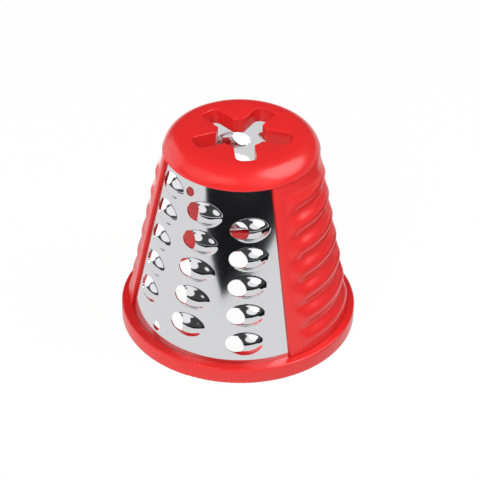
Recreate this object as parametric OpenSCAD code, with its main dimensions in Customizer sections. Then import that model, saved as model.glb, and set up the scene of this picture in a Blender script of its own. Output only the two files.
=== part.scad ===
// Conical grating drum of a rotary cheese grater.
// Two steel grating sheets and two ribbed plastic panels stand in a slot in the base ring,
// and the cap, with the star socket that the crank drives, closes them at the top.
// The origin is at the centre of the bottom face, the axis is +Z, and a window faces -Y.

/* [Drum] */
// Height from the resting rim to the top of the cap
drum_h = 87.4; // [75:0.2:100]
// Clearance left round every piece that sits in a slot
fit_gap = 0.1; // [0.05:0.05:0.2]

/* [Base ring] */
// Outer radius of the bearing band
ring_r = 48; // [44:0.5:56]
// Height of the bearing band
ring_h = 7; // [6:0.5:10]
// Width of the shelf between the band and the steel sheet
shelf_w = 4.5; // [3.5:0.5:6]
// Height of the inner upstand above the shelf
upstand_h = 3.1; // [1.5:0.1:5]
// Wall of the upstand
upstand_t = 1; // [0.8:0.1:1.8]
// Radius of the band's edges
ring_edge_r = 0.7; // [0.3:0.1:1]
// Wall left outside the cored underside
ring_wall = 2.4; // [1.6:0.1:3]
// Depth of the cored underside
core_depth = 2.4; // [1:0.1:2.6]

/* [Cap] */
// Outer radius of the cap
cap_r = 31.2; // [28:0.2:36]
// Height from the cap's rim to its top
cap_h = 7; // [6:0.5:10]
// Radius of the cap's shoulder
shoulder_r = 9.2; // [7:0.2:10]
// Thickness of the plate that holds the star socket
plate_t = 6.4; // [5:0.1:7]
// How far the cap stands out over the steel sheet
cap_overhang = 1.9; // [1.6:0.1:3]

/* [Star socket] */
// Number of arms
star_arms = 5; // [3:1:6]
// Radius over the tips of the arms
star_tip_r = 20; // [16:0.5:22]
// Radius over the ends of the teeth between the arms
star_hub_r = 10; // [9:0.5:12]
// Width of an arm
star_arm_w = 8.3; // [6:0.1:9]
// Radius of the corners at the tip of an arm
star_corner_r = 2.9; // [0.5:0.1:2.9]
// Azimuth of the first arm
star_turn = 32.6; // [0:0.2:72]

/* [Ribbed panels] */
// Half of a panel's width, in degrees, at mid height
panel_half = 37.2; // [32:0.2:42]
// Lean of a panel's side edges, in degrees
edge_lean = 2.2; // [0:0.1:3]
// Height of a panel's border above the steel sheet
border_proud = 1.3; // [0.8:0.1:2]
// Thickness of a panel behind the steel sheet
backing_t = 1.5; // [1:0.1:2]
// Width of a panel's border, up to where the ribs are full
border_w = 8.6; // [7:0.2:12]
// Number of ribs on a panel
rib_count = 7; // [5:1:8]
// Distance from the cap's rim down to the first rib
rib_top_gap = 4.4; // [4:0.2:8]
// Distance from the ring's shelf up to the last rib
rib_foot_gap = 0.4; // [0.2:0.1:3]
// Height of a rib's crest above the steel sheet
rib_proud = 2.4; // [1.8:0.1:3]
// Height of the valley between two ribs above the steel sheet
rib_valley = 0.5; // [0.4:0.1:0.8]
// How much lower the ribs of the left panel lie
rib_step = 3.3; // [0:0.1:4]

/* [Steel sheets] */
// Thickness of the steel
sheet_t = 0.6; // [0.4:0.1:0.8]
// How far the sheet reaches into the slot in a panel's edge
lap_w = 3; // [1.5:0.1:4]
// How deep the sheet and the panels stand in the ring and in the cap
slot_depth = 3; // [2:0.1:3.2]

/* [Teeth] */
// Radius of the hole in front of a tooth
hole_r = 3.7; // [3:0.1:4]
// Height of a tooth's crest above the sheet
tooth_h = 2.4; // [1.5:0.1:2.4]
// Half of a tooth's width at the sheet
tooth_half_w = 4.5; // [4:0.1:5]
// Distance from the middle of the hole to the crest
tooth_crest = 4.2; // [3.8:0.1:5]
// Distance from the middle of the hole to the tail
tooth_tail = 11.3; // [11.3:0.1:12]
// Number of columns of teeth
tooth_columns = 3; // [1:1:3]
// Azimuth from column to column
column_step = 33.5; // [33:0.1:34.5]
// Azimuth of the middle column, at the left edge of its holes
column_mid = -14; // [-15:0.1:-13]
// Number of teeth in a column
tooth_rows = 5; // [2:1:5]
// Distance from the cap's rim down to the top hole of the middle column
tooth_top_gap = 12.4; // [11.4:0.1:14]
// Distance from the ring's shelf up to the bottom hole of the middle column
tooth_foot_gap = 12.8; // [12:0.1:15]
// How much lower each next column starts
column_drop = 4.5; // [3:0.1:5]
// Radius of the two locating holes
pilot_r = 2; // [1:0.1:2.2]
// Azimuth of the upper locating hole
pilot_upper_turn = -13.5; // [-14.5:0.1:-12.5]
// Distance from the cap's rim down to the upper locating hole
pilot_upper_gap = 5.4; // [4:0.1:6]
// Azimuth of the lower locating hole
pilot_lower_turn = -24; // [-26:0.1:-22]
// Distance from the ring's shelf up to the lower locating hole
pilot_lower_gap = 5.3; // [4:0.1:6]

/* [Hidden] */
$fn = 96;
red = "#d9232a";
steel = "#c9ccd0";
// A length that runs past the whole drum
over = 2 * (ring_r + drum_h);
// A step past a face, so that a cut goes clean through it
nip = 1;

cap_z = drum_h - cap_h;
mid_z = (ring_h + cap_z) / 2;
// The outer face of the sheet is one cone, from the shelf of the ring to the rim of the cap
base_r = ring_r - shelf_w;
top_r = cap_r - cap_overhang;
slope = (base_r - top_r) / (cap_z - ring_h);
lean = atan(slope);
slot_bottom = ring_h - slot_depth;
slot_top = cap_z + slot_depth;
upstand_z = ring_h + upstand_h;
window_half = 90 - panel_half;
mid_r = (base_r + top_r) / 2;
// The ribs fill a panel from end to end, and their backs follow from crest and valley
rib_top = cap_z - rib_top_gap;
rib_pitch = (rib_top - rib_foot_gap - ring_h) / rib_count;
rib_sagitta = rib_proud - rib_valley;
rib_r = (pow(rib_pitch / 2, 2) + pow(rib_sagitta, 2)) / (2 * rib_sagitta);
rib_half = panel_half - border_w / mid_r * 180 / PI;
tooth_pitch = (cap_z - tooth_top_gap - tooth_foot_gap - ring_h) / (tooth_rows - 1);

// The ribs run this many degrees into the border, so that no two end faces coincide
rib_bury = 1;

function cone_r(z) = base_r - slope * (z - ring_h);
function rib_z(i, drop) = rib_top - drop - rib_pitch * (i + 0.5);

// ---- helpers ----

// Turns +X to an azimuth, which is counted from -Y towards +X
module at_azimuth(a) {
    rotate([0, 0, a - 90]) children();
}

// A point on the sheet: +X leaves the surface, +Y goes round, +Z goes up the cone
module on_sheet(a, z) {
    at_azimuth(a) translate([cone_r(z), 0, z]) rotate([0, -lean, 0]) children();
}

// Profile between two offsets from the sheet's outer face, from z0 to z1
module cone_band(inner, outer, z0, z1) {
    polygon([
        [cone_r(z0) + inner, z0],
        [cone_r(z0) + outer, z0],
        [cone_r(z1) + outer, z1],
        [cone_r(z1) + inner, z1],
    ]);
}

// The space round +X between two side planes, each grown by a length
module sector(half, side_lean, grow) {
    intersection_for(side = [0, 1]) {
        mirror([0, side, 0])
            rotate([0, 0, half])
                translate([0, grow, mid_z])
                    rotate([-side_lean, 0, 0])
                        translate([-over, -2 * over, -over])
                            cube([2 * over, 2 * over, 2 * over]);
    }
}

// All that lies inside an offset from the sheet's outer face
module cone_core(offset_r, z0, z1) {
    rotate_extrude() {
        polygon([
            [0, z0],
            [cone_r(z0) + offset_r, z0],
            [cone_r(z1) + offset_r, z1],
            [0, z1],
        ]);
    }
}

// ---- base ring ----

module ring_profile() {
    inner_r = cone_r(upstand_z) - sheet_t - fit_gap - upstand_t;
    difference() {
        union() {
            translate([inner_r, ring_edge_r])
                square([ring_r - inner_r, ring_h - 2 * ring_edge_r]);
            translate([inner_r, 0])
                square([ring_r - inner_r - ring_edge_r, ring_h]);
            for (z = [ring_edge_r, ring_h - ring_edge_r]) {
                translate([ring_r - ring_edge_r, z]) circle(ring_edge_r);
            }
            polygon([
                [inner_r, 0],
                [cone_r(0) - sheet_t - fit_gap, 0],
                [cone_r(upstand_z) - sheet_t - fit_gap, upstand_z],
                [inner_r, upstand_z],
            ]);
        }
        // The slot that the sheets and the panels stand in
        cone_band(-sheet_t - fit_gap, fit_gap, slot_bottom, ring_h + nip);
        // The cored underside
        translate([inner_r + upstand_t, -nip])
            square([ring_r - ring_wall - inner_r - upstand_t, nip + core_depth]);
    }
}

module base_ring() {
    color(red) rotate_extrude() ring_profile();
}

// ---- cap ----

module cap_profile() {
    rim_inner_r = top_r - sheet_t - fit_gap - upstand_t;
    flat_r = cap_r - sqrt(pow(shoulder_r, 2) - pow(shoulder_r - cap_h, 2));
    difference() {
        union() {
            intersection() {
                translate([flat_r, drum_h - shoulder_r]) circle(shoulder_r);
                translate([flat_r, cap_z]) square([shoulder_r, cap_h]);
            }
            translate([0, cap_z]) square([flat_r, cap_h]);
        }
        // The underside of the plate, a step above the rim
        translate([0, cap_z - nip])
            square([rim_inner_r, nip + cap_h - plate_t]);
        // The slot that the sheets and the panels reach into
        cone_band(-sheet_t - fit_gap, fit_gap, cap_z - nip, slot_top);
    }
}

// One arm of the star, along +X, with rounded corners at its tip
module star_arm() {
    corner_x = star_tip_r - star_corner_r;
    corner_y = star_arm_w / 2 - star_corner_r;
    translate([0, -star_arm_w / 2]) square([corner_x, star_arm_w]);
    translate([0, -corner_y]) square([star_tip_r, 2 * corner_y]);
    for (side = [-1, 1]) {
        translate([corner_x, side * corner_y]) circle(star_corner_r);
    }
}

module star_socket() {
    translate([0, 0, cap_z - nip]) linear_extrude(cap_h + 2 * nip) {
        circle(star_hub_r);
        for (i = [0 : star_arms - 1]) {
            rotate(star_turn - 90 + i * 360 / star_arms) star_arm();
        }
    }
}

module drive_cap() {
    color(red) difference() {
        rotate_extrude() cap_profile();
        star_socket();
    }
}

// ---- ribbed panels ----

// The backs of the ribs side by side, from below the shelf up to the first rib's end
module rib_profile(drop) {
    intersection() {
        for (i = [0 : rib_count - 1]) {
            z = rib_z(i, drop);
            translate([cone_r(z) + rib_proud - rib_r, z]) circle(rib_r);
        }
        cone_band(-sheet_t, rib_proud + nip, ring_h - 2 * nip, rib_top - drop);
    }
}

module ribs(drop) {
    rotate([0, 0, -rib_half]) rotate_extrude(angle = 2 * rib_half) rib_profile(drop);
}

// Half of a ball, on the +Y side of its middle
module half_ball(r) {
    rotate_extrude(angle = 180) intersection() {
        circle(r);
        translate([0, -r]) square([r, 2 * r]);
    }
}

// The half balls that round off the +Y end of the ribs
module rib_ends(drop) {
    for (i = [0 : rib_count - 1]) {
        z = rib_z(i, drop);
        if (z - ring_h > rib_pitch / 3) {
            rotate([0, 0, rib_half])
                translate([cone_r(z) + rib_proud - rib_r, 0, z])
                    half_ball(rib_r);
        }
    }
}

// The wall between its two edges, with the field of the ribs let into it
module panel_wall(drop) {
    difference() {
        intersection() {
            sector(panel_half, edge_lean, 0);
            rotate_extrude()
                cone_band(-backing_t - nip, border_proud, ring_h - nip, cap_z - fit_gap);
        }
        rotate([0, 0, rib_bury - rib_half]) rotate_extrude(angle = 2 * (rib_half - rib_bury))
            cone_band(2 * fit_gap, border_proud + nip, slot_bottom, rib_top - drop);
    }
}

// The tongues that stand in the ring and in the cap
module panel_tongues() {
    intersection() {
        sector(panel_half, edge_lean, -lap_w - 2 * fit_gap);
        rotate_extrude() {
            cone_band(-sheet_t - nip, 0, slot_bottom + fit_gap, ring_h + nip);
            cone_band(-sheet_t - nip, 0, cap_z - nip, slot_top - fit_gap);
        }
    }
}

// The part of the panel that stands on the shelf
module panel_front(drop) {
    difference() {
        union() {
            panel_wall(drop);
            ribs(drop);
            rib_ends(drop);
            mirror([0, 1, 0]) rib_ends(drop);
        }
        translate([0, 0, ring_h - over]) cylinder(h = over, r = over);
    }
}

module rib_panel(drop) {
    color(red) difference() {
        union() {
            panel_front(drop);
            panel_tongues();
        }
        // Hollow behind, with a seat for the ring's upstand and one for the cap's
        cone_core(-sheet_t - fit_gap - backing_t, 0, drum_h);
        cone_core(-sheet_t, 0, upstand_z + fit_gap);
        cone_core(-sheet_t, cap_z - fit_gap, drum_h);
        // Slots for the edges of the two sheets
        for (turn = [90, -90]) {
            rotate([0, 0, turn]) intersection() {
                rotate_extrude() cone_band(-sheet_t - fit_gap, fit_gap, 0, drum_h);
                sector(window_half, -edge_lean, lap_w + fit_gap);
            }
        }
    }
}

module right_rib_panel() {
    rib_panel(0);
}

module left_rib_panel() {
    rotate([0, 0, 180]) rib_panel(rib_step);
}

// ---- steel sheets ----

// A lemon round +Y, sunk so that its crest stands tooth_h above the sheet
module tooth_lemon(z, inset) {
    crest_r = (pow(tooth_half_w, 2) + pow(tooth_h, 2)) / (2 * tooth_h);
    // The arc falls from the crest to the tail, where the round sheet has dropped away
    reach = tooth_tail - tooth_crest;
    fall = tooth_h + pow(reach, 2) / (2 * cone_r(z));
    arc_r = (pow(reach, 2) + pow(fall, 2)) / (2 * fall);
    translate([tooth_h - crest_r, 0, 0]) rotate([90, 0, 0]) rotate_extrude() intersection() {
        translate([crest_r - arc_r, 0]) circle(arc_r - inset);
        translate([0, -over]) square([over, 2 * over]);
    }
}

function tooth_z(column, row) =
    cap_z - tooth_top_gap - (column - (tooth_columns - 1) / 2) * column_drop - row * tooth_pitch;

// The left edges of a column's holes share one azimuth, and the middle lies a radius on
function hole_azimuth(column, z) =
    column_mid + (column - (tooth_columns - 1) / 2) * column_step + asin(hole_r / cone_r(z));

module tooth_lemons(inset) {
    for (column = [0 : tooth_columns - 1], row = [0 : tooth_rows - 1]) {
        z = tooth_z(column, row);
        on_sheet(hole_azimuth(column, z) + asin(tooth_crest / cone_r(z)), z)
            tooth_lemon(z, inset);
    }
}

module tooth_holes() {
    for (column = [0 : tooth_columns - 1], row = [0 : tooth_rows - 1]) {
        z = tooth_z(column, row);
        on_sheet(hole_azimuth(column, z), z) hole(hole_r);
    }
}

module hole(r) {
    rotate([0, 90, 0]) translate([0, 0, -2 * tooth_h]) cylinder(h = 4 * tooth_h, r = r);
}

module grater_sheet() {
    color(steel) difference() {
        union() {
            intersection() {
                rotate_extrude() cone_band(-sheet_t, 0, slot_bottom + fit_gap, slot_top - fit_gap);
                at_azimuth(0) sector(window_half, -edge_lean, lap_w);
            }
            tooth_lemons(0);
        }
        cone_core(-sheet_t, 0, drum_h);
        tooth_lemons(sheet_t);
        tooth_holes();
        on_sheet(pilot_upper_turn, cap_z - pilot_upper_gap) hole(pilot_r);
        on_sheet(pilot_lower_turn, ring_h + pilot_lower_gap) hole(pilot_r);
    }
}

module front_grater_sheet() {
    grater_sheet();
}

module rear_grater_sheet() {
    rotate([0, 0, 180]) grater_sheet();
}

drive_cap();
base_ring();
right_rib_panel();
left_rib_panel();
front_grater_sheet();
rear_grater_sheet();
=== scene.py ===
"""Dresses the conical grating drum: red moulded plastic, polished grater steel, and the stage."""

import math

import bpy
from mathutils import Matrix, Vector


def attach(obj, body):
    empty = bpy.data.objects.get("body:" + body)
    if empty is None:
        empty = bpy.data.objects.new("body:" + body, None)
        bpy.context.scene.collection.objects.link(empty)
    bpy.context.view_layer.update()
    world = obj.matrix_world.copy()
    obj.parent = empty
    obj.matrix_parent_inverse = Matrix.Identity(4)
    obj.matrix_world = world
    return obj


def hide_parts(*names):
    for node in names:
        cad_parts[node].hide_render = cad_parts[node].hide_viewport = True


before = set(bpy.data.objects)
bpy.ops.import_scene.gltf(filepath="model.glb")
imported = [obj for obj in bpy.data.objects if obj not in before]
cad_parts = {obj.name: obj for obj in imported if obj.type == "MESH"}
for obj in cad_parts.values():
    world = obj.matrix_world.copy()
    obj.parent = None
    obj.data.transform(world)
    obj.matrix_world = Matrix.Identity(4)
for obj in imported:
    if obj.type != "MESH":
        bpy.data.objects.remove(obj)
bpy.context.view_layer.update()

bl_info = {
    "name": "Grating Drum Dresser",
    "version": (1, 0, 0),
    "blender": (4, 5, 0),
    "location": "3D View > Sidebar > Grating Drum",
    "description": "Finishes the pieces of a conical grating drum and sets its stage",
    "category": "Object",
}

MM = 0.001

# Moulded pieces, with the width of the radius on their edges in millimetres
MOULDED = {"drive_cap": 0.45, "base_ring": 0.25}
ROUND_STEPS = 3
SHARP_ANGLE = math.radians(40)
SMOOTH_ANGLE = math.radians(35)

# The drum's own sizes, in millimetres and degrees
SHELF_Z = 7.0
RIM_Z = 80.4
BASE_R = 43.5
TOP_R = 29.3
SLOPE = (BASE_R - TOP_R) / (RIM_Z - SHELF_Z)
LEAN = math.atan(SLOPE)
MID_Z = (SHELF_Z + RIM_Z) / 2
SHEET_T = 0.6
FIT_GAP = 0.1
SLOT_Z = (4.1, 83.3)
PANEL_HALF = 37.2
WINDOW_HALF = 90 - PANEL_HALF
EDGE_LEAN = math.tan(math.radians(2.2))
LAP_W = 3.0

# Teeth
HOLE_R = 3.7
TOOTH_H = 2.4
TOOTH_HALF_W = 4.5
TOOTH_CREST = 4.2
TOOTH_REACH = 7.1
COLUMN_STEP = 33.5
COLUMN_MID = -14.0
TOP_HOLE_Z = 68.0
TOOTH_PITCH = 12.05
COLUMN_DROP = 4.5
COLUMNS = 3
ROWS = 5
TOOTH_FILLET = 0.9
TOOTH_NEAR_Z = 6
TOOTH_NEAR_TURN = (-4, 26)
PILOT_R = 2.0
PILOTS = ((-13.5, 75.0), (-24.0, 12.3))
PUNCH_L = 14
SHEET_GRID = (180, 190)

# Ribbed panels
BORDER_PROUD = 1.3
BACKING_T = 1.5
RIB_COUNT = 7
RIB_PITCH = 9.8
RIB_TOP_Z = 76.0
RIB_DROP = {"right_rib_panel": 0.0, "left_rib_panel": 3.3}
RIB_CREST = 2.3
RIB_VALLEY = 0.45
# Below 1, the crests are broad and the valleys narrow
RIB_FULLNESS = 0.75
# Degrees from the panel's middle over which the crests and the valleys run out into the border
RIB_CREST_FADE = (22.0, 33.0)
RIB_VALLEY_FADE = (17.0, 29.0)
PANEL_EDGE_R = 0.35
# Share of that radius by which its arc has fallen away at a third of its turn
ARC_FALL = 0.134
PANEL_LEVELS = 200
PANEL_FACE_STEPS = 64
PANEL_BACK_STEPS = 24

# Finish of the plastic and the steel
ROUGHNESS_SPREAD = 0.02
PLASTIC_IOR = 1.5
PLASTIC_SHEEN = 0.34

# The dark side of the studio: metres, and degrees from the camera's side
WALL_R = 0.25
WALL_H = 0.045
WALL_FLARE_H = 0.028
WALL_FOOT = (-38.0, 44.0)
WALL_TOP = (-50.0, 100.0)

# Cards on the table: the radius and the two ends of their near arc, then of their far arc
DARK_WEDGE = ((0.163, -16.0, -16.0), (WALL_R, *WALL_FOOT))
DARK_TABLE = ((0.09, 51.0, 130.0), (0.5, 51.0, 130.0))
PALE_CARD = ((0.055, -190.0, -146.0), (0.35, -190.0, -146.0))
CARD_Z = 0.0002
CARD_BLACK = (0.005, 0.005, 0.006)

# Lamps: degrees from the camera's side, degrees above the table, metres away, metres across, watts,
# whether they show in reflections, and whether they light the pieces
LAMPS = {
    "box_left": (-118, 20, 0.7, 0.6, 1.1, True, True),
    "key_left": (-62, 38, 0.8, 0.7, 1.1, True, False),
    "key_right": (40, 40, 0.8, 0.72, 1.15, True, False),
    "rib_glow": (86, 50, 0.7, 0.66, 4.2, True, False),
    "box_right": (84, 58, 0.7, 0.42, 2.7, False, True),
    "fill_front": (-26, 45, 0.9, 0.5, 5.9, False, True),
}
LAMP_AIM = Vector((0, 0, 0.04))

SENSOR_W = 36

FLOOR_SIZE = 6.0
FLOOR_Z = -0.00005
FLOOR_COLOUR = (0.9, 0.9, 0.9, 1)
FLOOR_GLOW_SHARE = 0.97


# ---- settings ----

class DrumFinishSettings(bpy.types.PropertyGroup):
    """Colours and surface of the plastic and the steel."""

    plastic_colour: bpy.props.FloatVectorProperty(
        name="Plastic colour", description="Colour of the moulded plastic",
        subtype="COLOR", size=3, min=0, max=1, default=(0.84, 0.0155, 0.012))
    plastic_roughness: bpy.props.FloatProperty(
        name="Plastic roughness", description="How soft the plastic's highlights are",
        subtype="FACTOR", min=0, max=1, default=0.2)
    steel_colour: bpy.props.FloatVectorProperty(
        name="Steel colour", description="Colour of the polished steel",
        subtype="COLOR", size=3, min=0, max=1, default=(0.81, 0.81, 0.825))
    steel_roughness: bpy.props.FloatProperty(
        name="Steel roughness", description="How soft the reflections in the steel are",
        subtype="FACTOR", min=0, max=1, default=0.09)


class DrumStageSettings(bpy.types.PropertyGroup):
    """The camera and the light."""

    azimuth: bpy.props.FloatProperty(
        name="Azimuth", description="Camera's angle round the drum, from -Y towards +X",
        subtype="ANGLE", default=math.radians(26.0))
    elevation: bpy.props.FloatProperty(
        name="Elevation", description="Camera's angle above the floor",
        subtype="ANGLE", default=math.radians(35.66))
    roll: bpy.props.FloatProperty(
        name="Roll", description="Camera's turn about its own line of sight",
        subtype="ANGLE", default=math.radians(1.233))
    distance: bpy.props.FloatProperty(
        name="Distance", description="From the camera to the point that it looks at",
        subtype="DISTANCE", unit="LENGTH", default=0.80735)
    aim_height: bpy.props.FloatProperty(
        name="Aim height", description="Height of the point that the camera looks at",
        subtype="DISTANCE", unit="LENGTH", default=0.035753)
    aim_side: bpy.props.FloatProperty(
        name="Aim offset", description="How far that point lies to the right of the axis",
        subtype="DISTANCE", unit="LENGTH", default=0.000262)
    lens: bpy.props.FloatProperty(
        name="Lens", description="Focal length in millimetres on a 36 mm sensor",
        min=10, default=149.43)
    table_glow: bpy.props.FloatProperty(
        name="Table glow", description="How bright the table looks in reflections",
        min=0, default=0.8)
    table_light: bpy.props.FloatProperty(
        name="Table light", description="How much light the table throws back",
        min=0, default=1.2)
    room_light: bpy.props.FloatProperty(
        name="Room light", description="Light that comes evenly from all sides",
        min=0, default=0.12)
    card_glow: bpy.props.FloatProperty(
        name="Pale card glow", description="How bright the pale card behind the drum is",
        min=0, default=2.0)
    room_mirrored: bpy.props.FloatProperty(
        name="Room in reflections", description="How bright the room looks in reflections",
        min=0, default=0.06)


# ---- material tools ----

def new_material(name):
    """A material with an empty node tree, its output and its shader."""
    material = bpy.data.materials.new(name)
    material.use_nodes = True
    tree = material.node_tree
    tree.nodes.clear()
    output = tree.nodes.new("ShaderNodeOutputMaterial")
    shader = tree.nodes.new("ShaderNodeBsdfPrincipled")
    tree.links.new(shader.outputs["BSDF"], output.inputs["Surface"])
    return material, tree, shader


def add_node(tree, kind, **values):
    """A node with its inputs set by name."""
    node = tree.nodes.new(kind)
    for key, value in values.items():
        node.inputs[key].default_value = value
    return node


def dress(obj, material):
    """Gives the object one material all over."""
    obj.data.materials.clear()
    obj.data.materials.append(material)


def vary_roughness(tree, shader, middle, scale, detail):
    """Lets the surface be a little rougher here and smoother there."""
    place = tree.nodes.new("ShaderNodeTexCoord")
    wave = add_node(tree, "ShaderNodeTexNoise", Scale=scale, Detail=detail)
    tree.links.new(place.outputs["Object"], wave.inputs["Vector"])
    shade = add_node(tree, "ShaderNodeMapRange")
    shade.inputs["To Min"].default_value = middle - ROUGHNESS_SPREAD
    shade.inputs["To Max"].default_value = middle + ROUGHNESS_SPREAD
    tree.links.new(wave.outputs["Fac"], shade.inputs["Value"])
    tree.links.new(shade.outputs["Result"], shader.inputs["Roughness"])


def plastic_material(colour, roughness):
    """Glossy moulded plastic with a faint unevenness."""
    material, tree, shader = new_material("red_plastic")
    vary_roughness(tree, shader, roughness, 90.0, 2.0)
    shader.inputs["Base Color"].default_value = (*colour, 1)
    shader.inputs["IOR"].default_value = PLASTIC_IOR
    shader.inputs["Specular IOR Level"].default_value = PLASTIC_SHEEN
    return material


def steel_material(colour, roughness):
    """Polished sheet steel."""
    material, tree, shader = new_material("grater_steel")
    vary_roughness(tree, shader, roughness, 120.0, 3.0)
    shader.inputs["Base Color"].default_value = (*colour, 1)
    shader.inputs["Metallic"].default_value = 1.0
    return material


def glow_material(name, colour, strength):
    """A card that shines evenly."""
    material, tree, shader = new_material(name)
    tree.nodes.remove(shader)
    glow = add_node(tree, "ShaderNodeEmission", Color=(*colour, 1), Strength=strength)
    tree.links.new(glow.outputs[0], tree.nodes["Material Output"].inputs["Surface"])
    return material


def floor_material(stage):
    """White where it is looked at, and otherwise a glowing table that keeps a little shadow."""
    material, tree, shader = new_material("floor_white")
    tree.nodes.remove(shader)
    rays = tree.nodes.new("ShaderNodeLightPath")
    matt = add_node(tree, "ShaderNodeBsdfDiffuse", Color=FLOOR_COLOUR)
    glow = add_node(tree, "ShaderNodeEmission", Color=(1, 1, 1, 1))
    straight = tree.nodes.new("ShaderNodeMath")
    straight.operation = "MAXIMUM"
    tree.links.new(rays.outputs["Is Camera Ray"], straight.inputs[0])
    tree.links.new(rays.outputs["Is Transmission Ray"], straight.inputs[1])
    mirrored = add_node(tree, "ShaderNodeMapRange")
    mirrored.inputs["To Min"].default_value = stage.table_light
    mirrored.inputs["To Max"].default_value = stage.table_glow
    tree.links.new(rays.outputs["Is Glossy Ray"], mirrored.inputs["Value"])
    strength = add_node(tree, "ShaderNodeMapRange")
    tree.links.new(mirrored.outputs["Result"], strength.inputs["To Min"])
    strength.inputs["To Max"].default_value = 1.0
    tree.links.new(straight.outputs[0], strength.inputs["Value"])
    tree.links.new(strength.outputs["Result"], glow.inputs["Strength"])
    blend = add_node(tree, "ShaderNodeMixShader", Fac=FLOOR_GLOW_SHARE)
    tree.links.new(matt.outputs[0], blend.inputs[1])
    tree.links.new(glow.outputs[0], blend.inputs[2])
    tree.links.new(blend.outputs[0], tree.nodes["Material Output"].inputs["Surface"])
    return material


# ---- shape tools ----

def select_only(obj):
    """Makes the object the one that operators act on."""
    bpy.ops.object.select_all(action="DESELECT")
    obj.hide_set(False)
    obj.select_set(True)
    bpy.context.view_layer.objects.active = obj


def settle(piece, material, node):
    """Gives a finished piece its material and its body, and hides the CAD node that it stands for.
    """
    dress(piece, material)
    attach(piece, "root")
    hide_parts(node)


def shared_plastic(context):
    """The one plastic of all the moulded pieces."""
    material = bpy.data.materials.get("red_plastic")
    if material is None:
        finish = context.scene.drum_finish
        material = plastic_material(finish.plastic_colour, finish.plastic_roughness)
    return material


def merged_copy(node, name):
    """A copy of a CAD node with its triangles joined and its flat faces whole."""
    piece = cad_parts[node].copy()
    piece.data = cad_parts[node].data.copy()
    piece.name = name
    bpy.context.scene.collection.objects.link(piece)
    piece.parent = None
    piece.matrix_world = Matrix.Identity(4)
    select_only(piece)
    bpy.ops.object.mode_set(mode="EDIT")
    bpy.ops.mesh.select_all(action="SELECT")
    bpy.ops.mesh.customdata_custom_splitnormals_clear()
    bpy.ops.mesh.remove_doubles(threshold=0.002 * MM)
    bpy.ops.mesh.dissolve_limited(angle_limit=math.radians(0.6))
    bpy.ops.mesh.normals_make_consistent(inside=False)
    bpy.ops.object.mode_set(mode="OBJECT")
    return piece


def cone_r(z):
    """Radius of the sheet's outer face at a height, in millimetres."""
    return BASE_R - SLOPE * (z - SHELF_Z)


def on_cone(azimuth, z, rise):
    """A point at an azimuth in degrees from -Y towards +X, rise millimetres off the sheet."""
    angle = math.radians(azimuth)
    radius = cone_r(z) + rise * math.cos(LEAN)
    height = z + rise * math.sin(LEAN)
    return Vector((radius * math.sin(angle), -radius * math.cos(angle), height)) * MM


def edge_azimuth(half, z, radius, lean, grow):
    """Azimuth of a leaning side edge on a given radius, counted from the middle of its panel."""
    return half + math.degrees(math.asin((lean * (z - MID_Z) + grow) / radius))


def smooth_max(a, b, width):
    """The larger of the two, with a fillet where they meet."""
    near = max(width - abs(a - b), 0.0)
    return max(a, b) + near * near / (4 * width)


def teeth():
    """Azimuth and height of every hole."""
    for column in range(COLUMNS):
        step = column - (COLUMNS - 1) / 2
        for row in range(ROWS):
            z = TOP_HOLE_Z - step * COLUMN_DROP - row * TOOTH_PITCH
            turn = COLUMN_MID + step * COLUMN_STEP
            yield turn + math.degrees(math.asin(HOLE_R / cone_r(z))), z


def tooth_rise(azimuth, z, hole_azimuth, hole_z):
    """Height of one tooth's form over the sheet."""
    radius = cone_r(hole_z)
    crest = hole_azimuth + math.degrees(math.asin(TOOTH_CREST / radius))
    turn = math.radians(azimuth - crest)
    along = radius * math.sin(turn)
    across = (z - hole_z) / math.cos(LEAN)
    fall = TOOTH_H + TOOTH_REACH ** 2 / (2 * radius)
    arc_r = (TOOTH_REACH ** 2 + fall ** 2) / (2 * fall)
    crest_r = (TOOTH_HALF_W ** 2 + TOOTH_H ** 2) / (2 * TOOTH_H)
    if abs(along) >= arc_r:
        return -TOOTH_H
    girth = math.sqrt(arc_r ** 2 - along ** 2) - (arc_r - crest_r)
    if girth <= abs(across):
        return -TOOTH_H
    drop_away = radius * (1 - math.cos(turn))
    return math.sqrt(girth ** 2 - across ** 2) - (crest_r - TOOTH_H) + drop_away


def sheet_rise(azimuth, z, spots):
    """Height of the pressed face over the plain sheet."""
    rise = 0.0
    low, high = TOOTH_NEAR_TURN
    for hole_azimuth, hole_z in spots:
        if abs(z - hole_z) < TOOTH_NEAR_Z and low < azimuth - hole_azimuth < high:
            rise = smooth_max(rise, tooth_rise(azimuth, z, hole_azimuth, hole_z), TOOTH_FILLET)
    return rise


def wind_sheet(name, spots):
    """A fine sheet wound on the cone, with its teeth raised and its wall thickened inwards."""
    across, up = SHEET_GRID
    bpy.ops.object.select_all(action="DESELECT")
    bpy.ops.mesh.primitive_grid_add(x_subdivisions=across, y_subdivisions=up, size=2)
    sheet = bpy.context.object
    sheet.name = name
    z_low, z_high = SLOT_Z
    for vertex in sheet.data.vertices:
        z = z_low + (vertex.co.y + 1) / 2 * (z_high - z_low)
        azimuth = vertex.co.x * edge_azimuth(WINDOW_HALF, z, cone_r(z), -EDGE_LEAN, LAP_W)
        vertex.co = on_cone(azimuth, z, sheet_rise(azimuth, z, spots))
    bpy.ops.object.mode_set(mode="EDIT")
    bpy.ops.mesh.select_all(action="SELECT")
    bpy.ops.mesh.normals_make_consistent(inside=False)
    bpy.ops.object.mode_set(mode="OBJECT")
    middle = sheet.data.polygons[len(sheet.data.polygons) // 2]
    if middle.normal.dot(middle.center) < 0:
        sheet.data.flip_normals()
    wall = sheet.modifiers.new("wall", "SOLIDIFY")
    wall.thickness = SHEET_T * MM
    wall.offset = -1
    bpy.ops.object.modifier_apply(modifier=wall.name)
    return sheet


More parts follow.
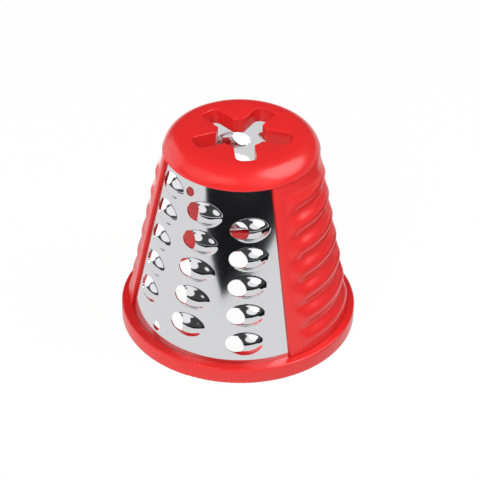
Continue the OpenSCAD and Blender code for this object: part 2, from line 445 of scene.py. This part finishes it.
def punches(holes):
    """One tool of round punches, each square to the cone at its hole."""
    bpy.ops.object.select_all(action="DESELECT")
    pins = []
    for azimuth, z, radius in holes:
        bpy.ops.mesh.primitive_cylinder_add(vertices=64, radius=radius * MM, depth=PUNCH_L * MM)
        pin = bpy.context.object
        out = (on_cone(azimuth, z, 1) - on_cone(azimuth, z, 0)).normalized()
        turn = out.to_track_quat("Z", "Y").to_matrix().to_4x4()
        pin.data.transform(Matrix.Translation(on_cone(azimuth, z, 0)) @ turn)
        pins.append(pin)
    for pin in pins:
        pin.select_set(True)
    bpy.context.view_layer.objects.active = pins[0]
    bpy.ops.object.join()
    return bpy.context.object


def sheet_mesh(name):
    """A grater sheet: wound on the cone, its teeth raised, thickened and pierced."""
    spots = list(teeth())
    sheet = wind_sheet(name, spots)
    holes = [(azimuth, z, HOLE_R) for azimuth, z in spots]
    holes += [(azimuth, z, PILOT_R) for azimuth, z in PILOTS]
    tool = punches(holes)
    select_only(sheet)
    pierce = sheet.modifiers.new("holes", "BOOLEAN")
    pierce.operation = "DIFFERENCE"
    pierce.solver = "EXACT"
    pierce.object = tool
    bpy.ops.object.modifier_apply(modifier=pierce.name)
    bpy.data.objects.remove(tool)
    return sheet


def ease(value, start, end):
    """From 0 to 1 between two values, flat at both ends."""
    share = min(max((value - start) / (end - start), 0.0), 1.0)
    return share * share * (3 - 2 * share)


def rib_rise(turn, z, drop):
    """Height of a panel's face over the sheet: soft ribs that run out into a plain border."""
    below = RIB_TOP_Z - drop - z
    if below <= 0 or below >= RIB_COUNT * RIB_PITCH + 1e-6:
        return BORDER_PROUD
    share = below / RIB_PITCH % 1.0
    swell = (0.5 - 0.5 * math.cos(2 * math.pi * share)) ** RIB_FULLNESS
    crest = RIB_CREST + (BORDER_PROUD - RIB_CREST) * ease(abs(turn), *RIB_CREST_FADE)
    valley = RIB_VALLEY + (BORDER_PROUD - RIB_VALLEY) * ease(abs(turn), *RIB_VALLEY_FADE)
    end = min(below, RIB_COUNT * RIB_PITCH - below)
    if end < RIB_PITCH / 2:
        valley += (BORDER_PROUD - valley) * (1 - ease(end, 0.0, RIB_PITCH / 2))
    return valley + (crest - valley) * swell


def panel_section(z, drop):
    """One level of a panel, as turns and rises: its ribbed face, its slotted sides and its back."""
    base = cone_r(z)
    inner = -SHEET_T - FIT_GAP
    lap = -LAP_W - 2 * FIT_GAP

    def edge(rise, grow=0.0):
        return edge_azimuth(PANEL_HALF, z, base + rise, EDGE_LEAN, grow)

    side = [
        (edge(BORDER_PROUD, -PANEL_EDGE_R), BORDER_PROUD),
        (edge(BORDER_PROUD, -PANEL_EDGE_R * 0.5), BORDER_PROUD - PANEL_EDGE_R * ARC_FALL),
        (edge(BORDER_PROUD, -PANEL_EDGE_R * ARC_FALL), BORDER_PROUD - PANEL_EDGE_R * 0.5),
        (edge(BORDER_PROUD), BORDER_PROUD - PANEL_EDGE_R),
        (edge(FIT_GAP), FIT_GAP),
        (edge(FIT_GAP, lap), FIT_GAP),
        (edge(inner, lap), inner),
        (edge(inner), inner),
        (edge(inner - BACKING_T), inner - BACKING_T),
    ]
    face_half = side[0][0]
    section = []
    for step in range(-PANEL_FACE_STEPS + 1, PANEL_FACE_STEPS):
        turn = step / PANEL_FACE_STEPS * face_half
        section.append((turn, rib_rise(turn, z, drop)))
    section += side
    back_half, back = side[-1]
    for step in range(1, PANEL_BACK_STEPS):
        section.append((back_half * (1 - 2 * step / PANEL_BACK_STEPS), back))
    section += [(-turn, rise) for turn, rise in reversed(side)]
    return section


def panel_mesh(name, drop, middle):
    """A ribbed panel, lofted up the cone, with slots in its sides for the steel."""
    z_low, z_high = SHELF_Z, RIM_Z - FIT_GAP
    points = []
    for level in range(PANEL_LEVELS + 1):
        z = z_low + level / PANEL_LEVELS * (z_high - z_low)
        points += [on_cone(middle + turn, z, rise) for turn, rise in panel_section(z, drop)]
    around = len(points) // (PANEL_LEVELS + 1)
    faces = []
    for level in range(PANEL_LEVELS):
        for step in range(around):
            after = (step + 1) % around
            low, high = level * around, (level + 1) * around
            faces.append((low + step, low + after, high + after, high + step))
    faces.append(tuple(reversed(range(around))))
    faces.append(tuple(range(PANEL_LEVELS * around, (PANEL_LEVELS + 1) * around)))
    mesh = bpy.data.meshes.new(name)
    mesh.from_pydata(points, [], faces)
    mesh.update()
    panel = bpy.data.objects.new(name, mesh)
    bpy.context.scene.collection.objects.link(panel)
    select_only(panel)
    bpy.ops.object.mode_set(mode="EDIT")
    bpy.ops.mesh.select_all(action="SELECT")
    bpy.ops.mesh.normals_make_consistent(inside=False)
    bpy.ops.object.mode_set(mode="OBJECT")
    return panel


# ---- stage tools ----

def floor_spot(azimuth, far, height):
    """A point of the stage, by its azimuth in radians and its distance from the axis in metres."""
    return Vector((far * math.sin(azimuth), -far * math.cos(azimuth), height))


def blend_ends(near, far, share):
    """The values part of the way from one row to another."""
    return [start + share * (end - start) for start, end in zip(near, far)]


def dark_wall(azimuth):
    """The dark wall across the table, low and wider at its top."""
    bpy.ops.object.select_all(action="DESELECT")
    bpy.ops.mesh.primitive_grid_add(x_subdivisions=48, y_subdivisions=12, size=2)
    wall = bpy.context.object
    wall.name = "dark_wall"
    for vertex in wall.data.vertices:
        height = (vertex.co.y + 1) / 2 * WALL_H
        left, right = blend_ends(WALL_FOOT, WALL_TOP, min(height / WALL_FLARE_H, 1.0))
        turn = left + (vertex.co.x + 1) / 2 * (right - left)
        vertex.co = floor_spot(azimuth + math.radians(turn), WALL_R, height)
    return wall


def table_card(name, azimuth, near, far):
    """A card on the table between two arcs, each with its radius and its two ends in degrees."""
    bpy.ops.object.select_all(action="DESELECT")
    bpy.ops.mesh.primitive_grid_add(x_subdivisions=48, y_subdivisions=24, size=2)
    card = bpy.context.object
    card.name = name
    for vertex in card.data.vertices:
        radius, left, right = blend_ends(near, far, (vertex.co.y + 1) / 2)
        turn = left + (vertex.co.x + 1) / 2 * (right - left)
        vertex.co = floor_spot(azimuth + math.radians(turn), radius, CARD_Z)
    return card


def lay_floor(stage):
    """The white floor."""
    bpy.ops.mesh.primitive_plane_add(size=FLOOR_SIZE, location=(0, 0, FLOOR_Z))
    floor = bpy.context.object
    floor.name = "floor"
    dress(floor, floor_material(stage))


def light_room(scene, stage):
    """Even light on the pieces, and a darker room in what they mirror."""
    world = bpy.data.worlds.new("studio")
    scene.world = world
    world.use_nodes = True
    air = world.node_tree
    sky = air.nodes["Background"]
    sky.inputs["Color"].default_value = (1, 1, 1, 1)
    seen = air.nodes.new("ShaderNodeLightPath")
    level = add_node(air, "ShaderNodeMapRange")
    level.inputs["To Min"].default_value = stage.room_light
    level.inputs["To Max"].default_value = stage.room_mirrored
    air.links.new(seen.outputs["Is Glossy Ray"], level.inputs["Value"])
    air.links.new(level.outputs["Result"], sky.inputs["Strength"])


def set_cards(stage):
    """The dark wall and the cards on the table, which only reflections see."""
    dark = glow_material("room_black", CARD_BLACK, 1.0)
    pale = glow_material("card_white", (1, 1, 1), stage.card_glow)
    for card, look in (
        (dark_wall(stage.azimuth), dark),
        (table_card("dark_wedge", stage.azimuth, *DARK_WEDGE), dark),
        (table_card("dark_table", stage.azimuth, *DARK_TABLE), dark),
        (table_card("pale_card", stage.azimuth, *PALE_CARD), pale),
    ):
        dress(card, look)
        card.visible_camera = False
        card.visible_diffuse = False
        card.visible_shadow = False
        card.visible_transmission = False


def direction(azimuth, tilt):
    """The way from the drum towards an azimuth, at a tilt above the floor."""
    return Vector((
        math.sin(azimuth) * math.cos(tilt), -math.cos(azimuth) * math.cos(tilt), math.sin(tilt)))


def hang_lamps(stage):
    """The soft round lamps, all turned towards the drum."""
    for name, (swing, height, far, size, power, mirrored, lights) in LAMPS.items():
        spot = far * direction(stage.azimuth + math.radians(swing), math.radians(height))
        bpy.ops.object.light_add(type="AREA", location=spot)
        lamp = bpy.context.object
        lamp.name = name
        lamp.data.shape = "DISK"
        lamp.data.size = size
        lamp.data.energy = power
        lamp.rotation_euler = (LAMP_AIM - spot).to_track_quat("-Z", "Y").to_euler()
        lamp.visible_glossy = mirrored
        lamp.visible_diffuse = lights


def place_camera(scene, stage):
    """The camera, turned a little about its own line of sight."""
    side = Vector((math.cos(stage.azimuth), math.sin(stage.azimuth), 0))
    back = direction(stage.azimuth, stage.elevation)
    up = back.cross(side)
    aim = side * stage.aim_side + Vector((0, 0, stage.aim_height))
    turn_cos, turn_sin = math.cos(stage.roll), math.sin(stage.roll)
    across = side * turn_cos + up * turn_sin
    upright = up * turn_cos - side * turn_sin
    place = Matrix((across, upright, back)).transposed().to_4x4()
    place.translation = aim + back * stage.distance
    camera_data = bpy.data.cameras.new("camera")
    camera = bpy.data.objects.new("camera", camera_data)
    scene.collection.objects.link(camera)
    camera.matrix_world = place
    camera_data.sensor_width = SENSOR_W
    camera_data.lens = stage.lens
    camera_data.clip_start = 0.01
    camera_data.clip_end = 20
    scene.camera = camera


# ---- operators ----

class DRUM_OT_plastic(bpy.types.Operator):
    """Rounds the edges of the cap and the ring and gives them their glossy plastic"""

    bl_idname = "drum.plastic"
    bl_label = "Finish the Cap and the Ring"

    def execute(self, context):
        material = shared_plastic(context)
        for name, width in MOULDED.items():
            piece = merged_copy(name, f"{name}_moulded")
            soften = piece.modifiers.new("soft_edges", "BEVEL")
            soften.width = width * MM
            soften.segments = ROUND_STEPS
            soften.limit_method = "ANGLE"
            soften.angle_limit = SHARP_ANGLE
            soften.use_clamp_overlap = True
            bpy.ops.object.modifier_apply(modifier=soften.name)
            bpy.ops.object.shade_smooth_by_angle(angle=SMOOTH_ANGLE)
            settle(piece, material, name)
        return {"FINISHED"}


class DRUM_OT_panels(bpy.types.Operator):
    """Moulds the two ribbed panels, whose ribs run out into the border"""

    bl_idname = "drum.panels"
    bl_label = "Mould the Ribbed Panels"

    def execute(self, context):
        material = shared_plastic(context)
        for name, turn in (("right_rib_panel", 90.0), ("left_rib_panel", -90.0)):
            piece = panel_mesh(f"{name}_moulded", RIB_DROP[name], turn)
            select_only(piece)
            bpy.ops.object.shade_smooth_by_angle(angle=SMOOTH_ANGLE)
            settle(piece, material, name)
        return {"FINISHED"}


class DRUM_OT_steel(bpy.types.Operator):
    """Presses the two grater sheets, with teeth that blend into the steel"""

    bl_idname = "drum.steel"
    bl_label = "Press the Grater Sheets"

    def execute(self, context):
        finish = context.scene.drum_finish
        material = steel_material(finish.steel_colour, finish.steel_roughness)
        front = sheet_mesh("front_grater_sheet_pressed")
        select_only(front)
        bpy.ops.object.shade_smooth_by_angle(angle=SMOOTH_ANGLE)
        rear = front.copy()
        rear.data = front.data.copy()
        rear.name = "rear_grater_sheet_pressed"
        rear.data.transform(Matrix.Rotation(math.pi, 4, "Z"))
        context.scene.collection.objects.link(rear)
        settle(front, material, "front_grater_sheet")
        settle(rear, material, "rear_grater_sheet")
        return {"FINISHED"}


class DRUM_OT_stage(bpy.types.Operator):
    """Sets the floor, the light and the camera"""

    bl_idname = "drum.stage"
    bl_label = "Set the Stage"

    def execute(self, context):
        scene = context.scene
        stage = scene.drum_stage
        scene.view_settings.view_transform = "Standard"
        lay_floor(stage)
        light_room(scene, stage)
        set_cards(stage)
        hang_lamps(stage)
        place_camera(scene, stage)
        return {"FINISHED"}


class DRUM_PT_panel(bpy.types.Panel):
    """Lists the drum's operators and settings."""

    bl_idname = "DRUM_PT_panel"
    bl_label = "Grating Drum"
    bl_space_type = "VIEW_3D"
    bl_region_type = "UI"
    bl_category = "Grating Drum"

    def draw(self, context):
        layout = self.layout
        for operator in OPERATORS:
            layout.operator(operator.bl_idname)
        for group in (context.scene.drum_finish, context.scene.drum_stage):
            box = layout.box()
            for key in group.__annotations__:
                box.prop(group, key)


OPERATORS = (DRUM_OT_plastic, DRUM_OT_panels, DRUM_OT_steel, DRUM_OT_stage)
CLASSES = (DrumFinishSettings, DrumStageSettings, *OPERATORS, DRUM_PT_panel)


def register():
    for cls in CLASSES:
        bpy.utils.register_class(cls)
    bpy.types.Scene.drum_finish = bpy.props.PointerProperty(type=DrumFinishSettings)
    bpy.types.Scene.drum_stage = bpy.props.PointerProperty(type=DrumStageSettings)


def unregister():
    del bpy.types.Scene.drum_stage
    del bpy.types.Scene.drum_finish
    for cls in reversed(CLASSES):
        bpy.utils.unregister_class(cls)


def main():
    register()
    bpy.ops.drum.plastic()
    bpy.ops.drum.panels()
    bpy.ops.drum.steel()
    bpy.ops.drum.stage()


if __name__ == "__main__":
    main()
